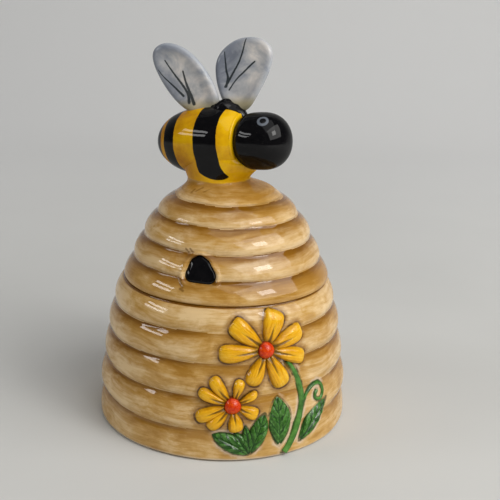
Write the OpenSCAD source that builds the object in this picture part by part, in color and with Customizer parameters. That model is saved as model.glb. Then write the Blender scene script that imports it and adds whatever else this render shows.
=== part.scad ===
// Honey pot in the shape of a straw beehive, with a lift-off lid that has a bee for its knob.
// The origin is the centre of the foot's underside, +Z is up and the hive's doorway faces -Y.

/* [Pot] */
// Diameter of the hive at its foot
base_d = 94; // [82:1:120]
// Diameter at the outer edge of the rim
rim_d = 76.4; // [68:0.2:80]
// Height of the rim above the table
pot_h = 54; // [45:0.5:70]
// Thickness of the pot's wall behind the grooves
pot_wall = 4.4; // [3.4:0.1:6]
// Thickness of the pot's floor
floor_t = 5; // [4:0.1:8]
// Radius between the floor and the wall inside
floor_corner_r = 8; // [4:0.5:12]
// Relative heights of the pot's rolled rings, from the foot up
pot_rings = [11.5, 11.8, 11.5, 10.4, 8.8];
// How far each ring of the pot stands out from its grooves, from the foot up
pot_rolls = [0.8, 1.5, 1.5, 1.4, 1.3];
// Share of the pot's taper that is straight, before the wall draws in to the rim
pot_straight = 0.75; // [0.6:0.01:0.9]

/* [Lid] */
// Height of the lid's shell above the rim
lid_h = 34; // [28:0.5:42]
// Diameter of the flat crown that carries the bee
crown_d = 31; // [30:0.5:36]
// How far the lid's edge stands in from the pot's rim
lid_setback = 0.2; // [0:0.1:1]
// Thickness of the lid's wall
lid_wall = 4.4; // [3.4:0.1:5.4]
// Relative heights of the lid's rolled rings, from the rim up
lid_rings = [8.1, 8.2, 8.4, 6.3, 3];
// How far each ring of the lid stands out from its grooves, from the rim up
lid_rolls = [1.2, 1.2, 1.1, 1, 0.4];
// Share of the lid's taper that is straight, before the shoulder turns in
lid_straight = 0.7; // [0.6:0.01:0.8]
// Depth of the collar that drops into the pot's mouth
collar_h = 5; // [3:0.5:9]
// Thickness of the collar
collar_t = 2.8; // [2:0.1:4]
// Gap all round between the collar and the pot's mouth
collar_gap = 0.7; // [0.4:0.1:1.5]

/* [Doorway] */
// Width of the doorway at its foot
door_w = 10.6; // [7:0.1:14]
// Height of the doorway
door_h = 9; // [6:0.1:12]
// Height of the doorway's middle above the rim
door_up = 11.6; // [9:0.1:16]
// Radius of the doorway's corners
door_corner_r = 2.7; // [1.5:0.1:3]
// Depth of the doorway's glazed inset below the lid's surface
door_inset = 1.2; // [0.6:0.1:2]
// How far the doorway's glaze stands out past the lid's grooves
door_proud = 0.9; // [0.3:0.1:1.5]

/* [Bee] */
// Height of the middle of the bee's body above the lid's crown
bee_up = 16.5; // [15:0.1:18]
// Direction of the bee's head, in degrees about the pot's axis from +X
bee_turn = -16; // [-180:1:180]
// Degrees by which the bee's head is raised
bee_tilt = 6.5; // [0:0.5:12]
// Distance of the body's middle behind the pot's axis
bee_back = 3.8; // [0:0.1:6]
// Length of the body's oval, from the tail to where its front tip would be
body_l = 51; // [44:0.5:60]
// Diameter of the body
body_d = 25.8; // [23:0.2:28]
// Radius of the rounded tail
tail_r = 7.5; // [6:0.1:9]
// Distance from the body's middle to the flat where the head is joined
head_joint = 14.2; // [13:0.1:16]
// Diameter of the head
head_d = 20.6; // [18:0.2:23]
// Distance from the head's joint to the middle of the head
head_out = 4.3; // [3:0.1:6]
// Diameter of each eye
eye_d = 4.2; // [3:0.1:5]
// How far each eye stands out from the head
eye_proud = 0.5; // [0.3:0.1:1]
// Degrees from the nose to each eye, to the side
eye_side = 56; // [35:1:70]
// Degrees from the nose to each eye, upward
eye_rise = 48; // [30:1:60]
// Diameter of the neck at its narrowest
neck_d = 25.4; // [22:0.2:26]
// Distance of the neck's middle behind the pot's axis
neck_back = 2.6; // [0:0.1:2.8]
// Radius of the hollow curve round the neck
neck_curve_r = 3; // [2:0.1:4]

/* [Wings] */
// Length of a wing
wing_l = 27; // [20:0.5:32]
// Width of a wing at its broadest
wing_w = 19.4; // [15:0.2:23]
// Width of a wing at its root
wing_root_w = 11; // [8:0.2:14]
// Thickness of a wing
wing_t = 3.4; // [2.6:0.1:4.5]
// Depth to which a wing's root reaches below the back of the bee
wing_seat = 1.6; // [1:0.1:3]
// Degrees by which the wings turn off the line of the body
wing_turn = 12; // [0:1:30]
// Rear wing: its root ahead of the body's middle, its root to the side, its lean back, its lean sideways
rear_wing_set = [-5.5, -1.5, 24, 5];
// Front wing: its root ahead of the body's middle, its root to the side, its lean back, its lean sideways
front_wing_set = [7.4, 2, -17, -8];
// Length of the mound of clay that holds the wings
mound_l = 21; // [14:0.5:26]
// Width of the mound
mound_w = 8.4; // [6:0.2:12]
// Distance of the mound's middle ahead of the body's middle
mound_ahead = 4; // [-2:0.5:8]

/* [Flowers] */
// Height of the petals above the pot's grooves
petal_relief = 2.6; // [1.8:0.1:4]
// Height of the leaves and stems above the pot's grooves
leaf_relief = 2.3; // [1.8:0.1:4]
// Width of a petal at the flower's heart, as a share of its broadest width
petal_taper = 0.42; // [0.2:0.02:0.9]
// Diameter of a flower's centre
heart_d = 6.2; // [4:0.1:8]
// Height of a flower's centre above the pot's grooves
heart_relief = 3.7; // [2.5:0.1:5]
// Large flower: degrees round the pot from the doorway, then height
large_flower_at = [35, 39.4];
// Large flower's petals: direction clockwise from up, length and width
large_petals = [
  [-94, 15.8, 5.4], [-51, 16, 5.8], [21, 14, 6.2], [72, 15.6, 5.6],
  [107, 15.8, 5.4], [156, 15.2, 5.6], [-156, 13.4, 5.8]
];
// Small flower: degrees round the pot from the doorway, then height
small_flower_at = [19.4, 20.6];
// Small flower's petals: direction clockwise from up, length and width
small_petals = [
  [-39, 12.2, 4.6], [17, 9.5, 3.8], [67, 9.2, 3.4], [114, 9.8, 4.4],
  [171, 9.8, 4.6], [-138, 11.8, 4.4], [-110, 13.4, 4.2], [-69, 12.6, 4.2]
];
// Low leaves: degrees round the pot of their shared root, then its height
leaf_cluster_at = [27, 2.8];
// Low leaves: direction clockwise from up, length and width
low_leaves = [[-62, 14.6, 5.4], [-38, 9, 3.8], [-5, 9.4, 2.4], [23, 15.2, 4.8]];
// Upright leaf: degrees round the pot of its root, then its height
leaf_upright_at = [40.2, 3.8];
// Upright leaf: direction clockwise from up, length and width
leaf_upright_size = [0, 18.6, 8];
// Right-hand leaf: degrees round the pot of its root, then its height
leaf_right_at = [51, 3.9];
// Right-hand leaf: direction clockwise from up, length and width
leaf_right_size = [53, 18, 5.4];
// Stem: degrees round the pot of the middle of its bend, then its height
stem_at = [51.6, 18.5];
// Width of the stem
stem_w = 2.4; // [1.6:0.1:3.5]
// Radius of the stem's bend
stem_bend_r = 29; // [22:1:40]
// Height from the stem's foot to its top
stem_h = 30; // [24:1:34]
// How far the stem's foot is turned outward, in degrees
stem_lean = 7; // [0:1:12]
// Tendril: degrees round the pot of the middle of its curl, then its height
tendril_at = [62.4, 18.6];
// Width of the tendril
tendril_w = 1.4; // [1:0.1:2]
// Distance from the middle of the tendril's curl to its outer end
curl_outer_r = 7.4; // [6:0.1:9]
// Distance from the middle of the tendril's curl to its inner end
curl_inner_r = 1.6; // [1.4:0.1:2.5]
// Direction of the tendril's outer end, anticlockwise from the right
curl_start = 200; // [170:1:230]
// Degrees through which the tendril curls
curl_sweep = 380; // [300:1:420]

/* [Hidden] */
$fn = 96;
straw = [0.83, 0.67, 0.42];
petal_yellow = [0.93, 0.66, 0.08];
heart_orange = [0.82, 0.22, 0.06];
leaf_green = [0.13, 0.38, 0.16];
gloss_black = [0.04, 0.04, 0.05];
bee_yellow = [0.93, 0.7, 0.08];
wing_grey = [0.66, 0.7, 0.76];
pot_power = 6;
overlap = 1;
profile_steps = 10;
roll_steps = 6;
arc_steps = 6;
curl_steps = 22;
leaf_blunt = 0.97;
mouth_r = rim_d / 2 - pot_wall;
collar_r = mouth_r - collar_gap;
collar_bore_r = collar_r - collar_t;
lid_edge_r = rim_d / 2 - lid_setback;
crown_z = pot_h + lid_h;
dome_h = lid_h - lid_wall - 0.6;
bee_z = crown_z + bee_up;
body_r = body_d / 2;
skin_depth = 14;

// Taper that is mostly straight and closes faster towards its end
function ease(t, straight) = straight * t + (1 - straight) * pow(t, pot_power);
// Radius of the pot at the bottom of its grooves, at a height above the table
function pot_r(z) = base_d / 2 - (base_d - rim_d) / 2 * ease(z / pot_h, pot_straight);
// Radius of the lid at the bottom of its grooves, at a height above the rim
function lid_r(z) = lid_edge_r - (lid_edge_r - crown_d / 2) * ease(z / lid_h, lid_straight);
// Sum of the first n numbers of a list
function sum_to(list, n) = n == 0 ? 0 : list[n - 1] + sum_to(list, n - 1);
// Height of groove n, when the rings in the list share a height
function groove_z(rings, h, n) = h * sum_to(rings, n) / sum_to(rings, len(rings));
// Radius of the lid's hollow, at a height above the rim
function dome_r(z) = min(collar_bore_r, lid_r(z + lid_wall / 2) - lid_wall);

// A point on a rolled ring from groove a to groove b that stands out by roll, at a share t of the way up
function roll_point(a, b, roll, t) =
  a + (b - a) * t + [b[1] - a[1], a[0] - b[0]] / norm(b - a) * 4 * roll * t * (1 - t);
// Half section of a stack of rolled rings, solid to the axis
function stack(grooves, rolls) = concat(
  [[0, grooves[0][1]]],
  [for (i = [0 : len(rolls) - 1]) each
    [for (k = [0 : roll_steps - 1]) roll_point(grooves[i], grooves[i + 1], rolls[i], k / roll_steps)]],
  [grooves[len(rolls)], [0, grooves[len(rolls)][1]]]
);

// The pot's grooves, from the foot up to the rim
function pot_grooves() =
  [for (i = [0 : len(pot_rings)]) let (z = groove_z(pot_rings, pot_h, i)) [pot_r(z), z]];

// The pot's outer form, without its hollow
module pot_form() {
  rotate_extrude() polygon(stack(pot_grooves(), pot_rolls));
}

// The lid's outer form above the rim, without its hollow
module lid_form() {
  grooves = [for (i = [0 : len(lid_rings)]) let (z = groove_z(lid_rings, lid_h, i)) [lid_r(z), z]];
  translate([0, 0, pot_h]) rotate_extrude() polygon(stack(grooves, lid_rolls));
}

// Layer that fills from the pot's rings out to a given height above its grooves
module relief_layer(relief) {
  rings = stack(pot_grooves(), pot_rolls);
  outer = [for (i = [0 : profile_steps]) let (z = pot_h * i / profile_steps) [pot_r(z) + relief, z]];
  inner = [for (i = [2 : len(rings) - 1]) rings[len(rings) - i]];
  rotate_extrude() polygon(concat(outer, inner));
}

// Points of an arc about a centre, from one direction to another
function arc(centre, r, from, to) =
  [for (i = [0 : arc_steps]) let (a = from + (to - from) * i / arc_steps) centre + r * [cos(a), sin(a)]];
// Outline of a strip of one width along a path
function strip(path, width) = let (
  last = len(path) - 1,
  runs = [for (i = [0 : last]) path[min(i + 1, last)] - path[max(i - 1, 0)]],
  side = [for (run = runs) [run[1], -run[0]] / norm(run) * width / 2]
) concat([for (i = [0 : last]) path[i] + side[i]], [for (i = [0 : last]) path[last - i] - side[last - i]]);

// Two circles joined by their outer tangents
module taper_2d(a, ra, b, rb) {
  run = norm(b - a);
  along = atan2(b[1] - a[1], b[0] - a[0]);
  lean = acos((ra - rb) / run);
  left = [cos(along + lean), sin(along + lean)];
  right = [cos(along - lean), sin(along - lean)];
  translate(a) circle(r = ra);
  translate(b) circle(r = rb);
  polygon([a + ra * right, b + rb * right, b + rb * left, a + ra * left]);
}

// Petal from the flower's heart: direction clockwise from up, length and width
module petal_2d(size) {
  tip_r = size[2] / 2;
  root_r = tip_r * petal_taper;
  tip = [0, size[1] - tip_r];
  root = [0, heart_d / 4];
  lean = acos((root_r - tip_r) / norm(tip - root));
  rotate(-size[0]) polygon(concat(arc(tip, tip_r, 90 - lean, 90 + lean), arc(root, root_r, 90 + lean, 450 - lean)));
}

// Leaf from its root, a little blunt at both ends: direction clockwise from up, length and width
module leaf_2d(size) {
  side_r = (size[1] * size[1] + size[2] * size[2]) / (4 * size[2]);
  sweep = leaf_blunt * asin(size[1] / (2 * side_r));
  right = arc([size[2] / 2 - side_r, size[1] / 2], side_r, -sweep, sweep);
  left = arc([side_r - size[2] / 2, size[1] / 2], side_r, 180 - sweep, 180 + sweep);
  rotate(-size[0]) polygon(concat(right, left));
}

// An outline drawn about a place on the pot, cut through the pot's wall and the air in front of it
module through_pot(at) {
  rotate([0, 0, at[0]]) translate([0, -pot_r(at[1]) + skin_depth, at[1]])
    rotate([90, 0, 0]) linear_extrude(2 * skin_depth) children();
}

// Raises an outline, drawn about a place on the pot, to a relief that follows the hive and sits on its rings
module on_pot(at, relief) {
  intersection() {
    through_pot(at) children();
    relief_layer(relief);
  }
}

// All petals of a flower, less its centre
module petals_2d(sizes) {
  difference() {
    union() {
      for (size = sizes) petal_2d(size);
    }
    circle(d = heart_d);
  }
}

// Domed centre of a flower
module flower_centre(at) {
  ball_r = (heart_d * heart_d / 4 + heart_relief * heart_relief / 4) / heart_relief;
  top = pot_r(at[1]) + heart_relief;
  color(heart_orange) difference() {
    rotate([0, 0, at[0]]) translate([0, 0, at[1]]) rotate([90, 0, 0]) intersection() {
      cylinder(d = heart_d, h = top);
      translate([0, 0, top - ball_r]) sphere(r = ball_r);
      translate([0, 0, top - skin_depth]) cylinder(d = 2 * heart_d, h = skin_depth);
    }
    pot_form();
  }
}

// The bee's own frame: +X towards its head, +Z out of its back, origin in the middle of its body
module in_bee() {
  translate([0, 0, bee_z]) rotate([0, 0, bee_turn]) rotate([0, -bee_tilt, 0])
    translate([-bee_back, 0, 0]) children();
}

// Oval along X of four arcs, turned about X
module oval(length, width, end_r) {
  half_l = length / 2;
  half_w = width / 2;
  side_r = (half_l * half_l + half_w * half_w - 2 * half_l * end_r) / (2 * (half_w - end_r));
  end_x = half_l - end_r;
  side_y = side_r - half_w;
  edge = side_r / norm([end_x, side_y]);
  tangent_x = end_x * edge;
  rotate([90, 0, 90]) rotate_extrude() union() {
    intersection() {
      translate([-side_y, 0]) circle(r = side_r);
      translate([0, -tangent_x]) square([half_w, 2 * tangent_x]);
    }
    for (s = [-1, 1]) intersection() {
      translate([0, s * end_x]) circle(r = end_r);
      translate([0, -half_l]) square([end_r, length]);
    }
  }
}

module pot_body() {
  wall_r = function(z) pot_r(z) - pot_wall;
  corner = [for (i = [0 : profile_steps]) let (a = 90 * i / profile_steps)
    [wall_r(floor_t + floor_corner_r) - floor_corner_r * (1 - sin(a)), floor_t + floor_corner_r * (1 - cos(a))]];
  rise = pot_h - floor_t - floor_corner_r;
  side = [for (i = [1 : profile_steps]) let (z = pot_h - rise * (1 - i / profile_steps)) [wall_r(z), z]];
  color(straw) difference() {
    pot_form();
    rotate_extrude()
      polygon(concat([[0, floor_t]], corner, side, [[mouth_r, pot_h + overlap], [0, pot_h + overlap]]));
  }
}

module large_flower_petals() {
  color(petal_yellow) on_pot(large_flower_at, petal_relief) petals_2d(large_petals);
}

module large_flower_centre() {
  flower_centre(large_flower_at);
}

module small_flower_petals() {
  color(petal_yellow) on_pot(small_flower_at, petal_relief) petals_2d(small_petals);
}

module small_flower_centre() {
  flower_centre(small_flower_at);
}

// The stem's bent strip, drawn about the middle of its bend
module stem_2d() {
  sweep = asin(stem_h / (2 * stem_bend_r));
  rotate(-stem_lean) polygon(strip(arc([-stem_bend_r, 0], stem_bend_r, -sweep, sweep), stem_w));
}

module flower_stem() {
  color(leaf_green) difference() {
    on_pot(stem_at, leaf_relief) stem_2d();
    through_pot(large_flower_at) petals_2d(large_petals);
  }
}

// The tendril's spiral strip, drawn about the middle of its curl
module tendril_2d() {
  path = [for (i = [0 : curl_steps]) let (t = i / curl_steps, a = curl_start - curl_sweep * t)
    (curl_outer_r - (curl_outer_r - curl_inner_r) * pow(t, 0.6)) * [cos(a), sin(a)]];
  polygon(strip(path, tendril_w));
}

module curled_tendril() {
  color(leaf_green) on_pot(tendril_at, leaf_relief) tendril_2d();
}

module leaf_cluster() {
  color(leaf_green) on_pot(leaf_cluster_at, leaf_relief) union() {
    for (size = low_leaves) leaf_2d(size);
  }
}

module leaf_upright() {
  color(leaf_green) on_pot(leaf_upright_at, leaf_relief) leaf_2d(leaf_upright_size);
}

module leaf_right() {
  color(leaf_green) on_pot(leaf_right_at, leaf_relief) leaf_2d(leaf_right_size);
}

// The doorway's outline pushed into the lid from the front
module door_prism() {
  foot_x = door_w / 2 - door_corner_r;
  foot_y = door_corner_r - door_h / 2;
  top = [0, door_h / 2 - door_corner_r];
  translate([0, 0, pot_h + door_up]) rotate([90, 0, 0]) linear_extrude(base_d) union() {
    taper_2d([-foot_x, foot_y], door_corner_r, [foot_x, foot_y], door_corner_r);
    for (s = [-1, 1]) taper_2d([s * foot_x, foot_y], door_corner_r, top, door_corner_r);
    polygon([[-foot_x, foot_y], [foot_x, foot_y], top]);
  }
}

// Solid within a given height of the lid's grooves, negative for below them
module lid_skin(relief) {
  side = [for (i = [0 : profile_steps]) let (z = lid_h * i / profile_steps) [lid_r(z) + relief, z]];
  translate([0, 0, pot_h]) rotate_extrude() polygon(concat([[0, 0]], side, [[0, lid_h]]));
}

module lid_shell() {
  dome = [for (i = [0 : profile_steps]) let (z = dome_h * i / profile_steps) [dome_r(z), z]];
  color(straw) difference() {
    union() {
      lid_form();
      translate([0, 0, pot_h - collar_h]) cylinder(r = collar_r, h = collar_h + lid_wall);
    }
    translate([0, 0, pot_h]) rotate_extrude()
      polygon(concat([[0, -collar_h - overlap], [collar_bore_r, -collar_h - overlap]], dome, [[0, dome_h]]));
    difference() {
      door_prism();
      lid_skin(-door_inset);
    }
  }
}

module doorway() {
  color(gloss_black) difference() {
    intersection() {
      door_prism();
      lid_skin(door_proud);
    }
    lid_skin(-door_inset);
  }
}

// The collar of clay between the lid's crown and the bee
module bee_neck() {
  neck_r = neck_d / 2;
  foot_r = crown_d / 2 - neck_back;
  color(bee_yellow) difference() {
    translate([-neck_back * cos(bee_turn), -neck_back * sin(bee_turn), crown_z]) rotate_extrude() difference() {
      square([max(foot_r, neck_r), bee_up - body_r / 4]);
      translate([neck_r + neck_curve_r, neck_curve_r]) circle(r = neck_curve_r);
      translate([neck_r, neck_curve_r]) square([body_r, bee_up]);
    }
    in_bee() oval(body_l, body_d, tail_r);
  }
}

module bee_body() {
  color(bee_yellow) in_bee() intersection() {
    oval(body_l, body_d, tail_r);
    translate([head_joint - body_l, -body_d, -body_d]) cube([body_l, 2 * body_d, 2 * body_d]);
  }
}

module bee_head() {
  color(gloss_black) in_bee() translate([head_joint, 0, 0]) rotate([0, 90, 0]) rotate_extrude() intersection() {
    translate([0, head_out]) circle(d = head_d);
    square([head_d, 2 * head_d]);
  }
}

module bee_eyes() {
  ball_r = (eye_d * eye_d / 4 + eye_proud * eye_proud) / (2 * eye_proud);
  color(gloss_black) in_bee() difference() {
    for (s = [-1, 1]) translate([head_joint + head_out, 0, 0]) rotate([0, -eye_rise, s * eye_side])
      rotate([0, 90, 0]) intersection() {
        cylinder(d = eye_d, h = head_d);
        translate([0, 0, head_d / 2 + eye_proud - ball_r]) sphere(r = ball_r);
      }
    translate([head_joint + head_out, 0, 0]) sphere(d = head_d);
  }
}

// The mound on the bee's back, before the body is taken from it
module mound_form() {
  translate([mound_ahead, 0, body_r - mound_w / 4]) oval(mound_l, mound_w, mound_w / 3);
}

module wing_mound() {
  color(gloss_black) in_bee() difference() {
    mound_form();
    oval(body_l, body_d, tail_r);
  }
}

// One wing on the bee's back, seated on the body and the mound
module wing(set) {
  root_r = wing_root_w / 2;
  tip_r = wing_w / 2;
  color(wing_grey) in_bee() difference() {
    translate([set[0], set[1], body_r - wing_seat]) rotate([set[3], 0, wing_turn]) rotate([0, -set[2], 0])
      translate([0, wing_t / 2, 0]) rotate([90, 0, 0]) linear_extrude(wing_t)
        taper_2d([0, root_r], root_r, [0, wing_l + wing_seat - tip_r], tip_r);
    oval(body_l, body_d, tail_r);
    mound_form();
  }
}

module rear_wing() {
  wing(rear_wing_set);
}

module front_wing() {
  wing(front_wing_set);
}

pot_body();
large_flower_petals();
large_flower_centre();
small_flower_petals();
small_flower_centre();
flower_stem();
curled_tendril();
leaf_cluster();
leaf_upright();
leaf_right();
lid_shell();
doorway();
bee_neck();
bee_body();
bee_head();
bee_eyes();
wing_mound();
rear_wing();
front_wing();
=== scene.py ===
"""Looks of a honey pot shaped as a straw beehive, with daisies on its side and a bee on its lid.

The object's frame: the origin is the centre of the pot's underside, +Z is up and the doorway faces -Y.
Shapes are worked out in millimetres and stored in metres. A place on the hive is given by its angle from
the doorway towards +X, in degrees, and its height.
"""

import math

import bpy
import numpy as np
from mathutils import Matrix, Vector


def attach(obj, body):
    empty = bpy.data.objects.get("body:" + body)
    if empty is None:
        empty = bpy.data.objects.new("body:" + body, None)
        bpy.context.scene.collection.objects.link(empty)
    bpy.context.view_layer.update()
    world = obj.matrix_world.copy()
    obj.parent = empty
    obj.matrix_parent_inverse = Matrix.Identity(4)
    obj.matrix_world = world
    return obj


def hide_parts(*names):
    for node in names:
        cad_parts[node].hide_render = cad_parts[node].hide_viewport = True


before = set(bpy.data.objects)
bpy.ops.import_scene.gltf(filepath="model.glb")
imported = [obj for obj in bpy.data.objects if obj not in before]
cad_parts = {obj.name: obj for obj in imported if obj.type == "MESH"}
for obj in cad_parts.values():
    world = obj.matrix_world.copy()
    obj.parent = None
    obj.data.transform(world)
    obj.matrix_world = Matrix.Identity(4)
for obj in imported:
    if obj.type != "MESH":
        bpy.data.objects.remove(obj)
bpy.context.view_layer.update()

MM = 0.001
# The seam between pot and lid, and the lid's top under the bee
POT_H = 54.0
CROWN_Z = 88.0
# Inside the pot and the lid
WALL = 4.4
FLOOR_Z = 5.0
FLOOR_CORNER_R = 8.0
COLLAR_R = 33.1
COLLAR_END_Z = 49.0
BORE_R = 30.3
HOLLOW_TOP_Z = 83.0
# The lid sits a little off the pot's centre
LID_SHIFT = (0.45, 0.12, 0)
# Stored as a distance where nothing painted is near
FAR = 99.0
# The camera stands this many degrees round from the doorway
CAMERA_AROUND = 14.92


# Meshes

def tube(name, grid, start, end, values):
    """A closed surface from rows of points round it, with a single point at each end.

    grid is rows x columns x 3 in mm, and values holds an array of that shape for each attribute.
    """
    rows, cols = grid.shape[:2]
    verts = np.vstack([grid.reshape(-1, 3), [start], [end]]) * MM
    i = np.arange(rows - 1)[:, None] * cols
    j = np.arange(cols)
    k = (j + 1) % cols
    quads = np.stack([i + j, i + k, i + cols + k, i + cols + j], axis=-1).reshape(-1, 4)
    last = (rows - 1) * cols
    first_fan = np.stack([k, j, np.full(cols, rows * cols)], axis=-1)
    last_fan = np.stack([last + j, last + k, np.full(cols, rows * cols + 1)], axis=-1)
    tris = np.vstack([first_fan, last_fan])
    a, b, c = verts[np.vstack([tris, quads[:, [0, 1, 2]], quads[:, [0, 2, 3]]])].transpose(1, 0, 2)
    inside_out = np.einsum("ij,ij->", a, np.cross(b, c)) < 0
    if inside_out:
        quads, tris = quads[:, ::-1], tris[:, ::-1]
    mesh = bpy.data.meshes.new(name)
    mesh.from_pydata(verts.tolist(), [], quads.tolist() + tris.tolist())
    for key, array in values.items():
        flat = np.vstack([array.reshape(-1, 3), array[0].mean(0), array[-1].mean(0)])
        stored = mesh.attributes.new(key, "FLOAT_VECTOR", "POINT")
        stored.data.foreach_set("vector", flat.astype(np.float32).ravel())
    mesh.polygons.foreach_set("use_smooth", np.ones(len(mesh.polygons), bool))
    mesh.update()
    piece = bpy.data.objects.new(name, mesh)
    bpy.context.scene.collection.objects.link(piece)
    return piece


def join(pieces, name):
    """Makes one mesh of several that have the same attributes."""
    target = pieces[0]
    with bpy.context.temp_override(
        active_object=target, object=target, selected_objects=pieces, selected_editable_objects=pieces
    ):
        bpy.ops.object.join()
    target.name = name
    target.data.name = name
    return target


def bind(piece, material, body, node):
    """Gives a piece its material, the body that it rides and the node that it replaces."""
    piece.data.materials.append(material)
    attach(piece, body)
    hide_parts(node)


def polar(r, turn):
    """2D points at a radius and an angle in radians."""
    return np.stack([r * np.cos(turn), r * np.sin(turn)], axis=-1)


def smooth_step(x, low, high):
    """From 0 at low to 1 at high, level at both."""
    t = np.clip((x - low) / (high - low), 0, 1)
    return t * t * (3 - 2 * t)


def catmull_rom(points):
    """A fine line through all the points but the first and the last, which only steer it."""
    a, b, c, d = (points[n:len(points) - 3 + n, None] for n in range(4))
    t = np.linspace(0, 1, 24, endpoint=False)[:, None]
    square, cube = (2 * a - 5 * b + 4 * c - d) * t**2, (3 * b - a - 3 * c + d) * t**3
    fine = 0.5 * (2 * b + (c - a) * t + square + cube)
    return np.vstack([fine.reshape(-1, points.shape[1]), points[-2]])


def closed_curve(points, count):
    """A smooth closed curve through the points, as count points evenly along it."""
    p = np.array(points, float)
    return resample(catmull_rom(np.vstack([p[-1], p, p[:2]])), count + 1)[:-1]


def open_curve(points, count):
    """A smooth curve through the points, as count points evenly along it."""
    p = np.array(points, float)
    return resample(catmull_rom(np.vstack([2 * p[0] - p[1], p, 2 * p[-1] - p[-2]])), count)


def resample(line, count):
    """count points evenly along a line of points."""
    step = np.linalg.norm(np.diff(line, axis=0), axis=1)
    at = np.concatenate([[0], np.cumsum(step)])
    want = np.linspace(0, at[-1], count)
    return np.stack([np.interp(want, at, line[:, n]) for n in range(line.shape[1])], axis=-1)


def turns(count):
    """count angles evenly round a circle, in radians."""
    return np.linspace(0, 2 * math.pi, count, endpoint=False)


def is_inside(points, outline):
    """Whether each 2D point lies inside a closed outline."""
    a = np.array(outline, float)
    b = np.roll(a, -1, axis=0)
    x, y = points[:, :1], points[:, 1:]
    spans = (a[:, 1] > y) != (b[:, 1] > y)
    rise = np.where(a[:, 1] == b[:, 1], 1e-9, b[:, 1] - a[:, 1])
    return (spans & (x < a[:, 0] + (y - a[:, 1]) / rise * (b[:, 0] - a[:, 0]))).sum(1) % 2 == 1


def distance_to(points, line, closed=False, widths=1.0):
    """The distance of each point from a line of points, in units of the line's width at each place."""
    a = np.array(line, float)
    b = np.roll(a, -1, axis=0) if closed else a[1:]
    a = a if closed else a[:-1]
    run = b - a
    t = np.einsum("pki,ki->pk", points[:, None] - a[None], run) / np.maximum((run**2).sum(1), 1e-9)
    near = a[None] + np.clip(t, 0, 1)[..., None] * run[None]
    return (np.linalg.norm(points[:, None] - near, axis=-1) / widths).min(1)


def same_shape(*values):
    """The values as arrays of one common shape."""
    return np.broadcast_arrays(*(np.asarray(value, float) for value in values))


# The hive's outer surface

LID_H = CROWN_Z - POT_H
# Radius of the lowest groove, and how much less it is at the top
POT_GROOVE_R = 47
POT_NARROWS = 8.8
LID_GROOVE_R = 38
LID_NARROWS = 22.5
# Heights of the grooves, and how far each ring between them rolls out
POT_GROOVES = np.array([0, 11.5, 23.3, 34.8, 45.2, 54])
POT_ROLLS = np.array([0.95, 2.0, 1.9, 1.8, 1.45])
LID_GROOVES = np.array([54, 62.1, 70.3, 78.7, 85, 88])
LID_ROLLS = np.array([1.5, 1.7, 1.75, 1.15, 0.2])


def taper(t, straight):
    """From 0 to 1, straight at first and steeper towards the top."""
    return straight * t + (1 - straight) * t**6


def pot_groove_r(z):
    """Radius at the bottom of the pot's grooves."""
    return POT_GROOVE_R - POT_NARROWS * taper(np.clip(z, 0, POT_H) / POT_H, 0.75)


def lid_groove_r(z):
    """Radius at the bottom of the lid's grooves."""
    return LID_GROOVE_R - LID_NARROWS * taper(np.clip(z - POT_H, 0, LID_H) / LID_H, 0.7)


def degrees_per_mm(z):
    """The angle that 1 mm across a raised shape spans on the pot."""
    return np.degrees(1 / (pot_groove_r(z) + 1.5))


def ring_profile(grooves, rolls):
    """Heights, and how far a stack of soft rolled rings stands out from its grooves at each."""
    step, softness, reach = 0.05, 0.62, 60
    z = np.arange(grooves[0], grooves[-1] + 0.01, step)
    out = np.zeros_like(z)
    for low, high, roll in zip(grooves[:-1], grooves[1:], rolls):
        inside = (z >= low) & (z <= high)
        t = ((z[inside] - low) / (high - low)) ** 0.8
        out[inside] = roll * (1 - np.abs(2 * t - 1) ** 2.2) ** 0.85
    kernel = np.exp(-0.5 * (np.arange(-reach, reach + 1) * step / softness) ** 2)
    padded = np.pad(out, reach, mode="reflect", reflect_type="odd")
    return z, np.convolve(padded, kernel / kernel.sum(), "valid")


POT_Z, POT_OUT = ring_profile(POT_GROOVES, POT_ROLLS)
LID_Z, LID_OUT = ring_profile(LID_GROOVES, LID_ROLLS)


def waver(angle, z):
    """Slow unevenness of hand-finished rings, from -1 to 1."""
    a = np.radians(angle)
    return (
        0.34 * np.cos(2 * a + 0.7 + 0.05 * z)
        + 0.27 * np.cos(3 * a - 1.9 + 0.11 * z)
        + 0.22 * np.cos(5 * a + 2.6 - 0.13 * z)
        + 0.17 * np.cos(8 * a + 0.3 + 0.21 * z)
    )


def flower_ground(angle, z):
    """1 where the flowers' ground fills the grooves of the pot, 0 away from it."""
    right_end = 50 + 20 * (1 - smooth_step(z, 22, 32))
    across = smooth_step(angle, -12, 12) * (1 - smooth_step(angle, right_end, right_end + 12))
    return across * (1 - smooth_step(z, 44, 52))


def pot_r(angle, z):
    """Radius of the pot's outer surface."""
    ends = smooth_step(z, 0, 6) * (1 - smooth_step(z, 47, 53))
    out = np.interp(z + 0.55 * waver(angle, z) * ends, POT_Z, POT_OUT)
    ground = 0.62 * flower_ground(angle, z)
    out = out * (1 - ground) + 1.0 * ground
    return pot_groove_r(z) + out + 0.14 * waver(angle + 5, 2 * z) * ends


# The doorway's place as (angle, height), the hive's radius there, its corners in mm about its place, and how
# round they are
DOOR_AT = (-0.8, 65.2)
DOOR_R = 35
DOOR_CORNERS = ((-3.1, -1.5), (3.3, -1.6), (1.2, 0.9), (-0.8, 1.75), (-2.4, 1.1))
DOOR_CORNER_R = 3.1


def door_distance(x, y):
    """Signed distance from the doorway's outline. Negative inside."""
    points = np.stack([x.ravel(), y.ravel()], axis=-1)
    away = distance_to(points, DOOR_CORNERS, closed=True)
    away[is_inside(points, DOOR_CORNERS)] *= -1
    return away.reshape(x.shape) - DOOR_CORNER_R


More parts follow.
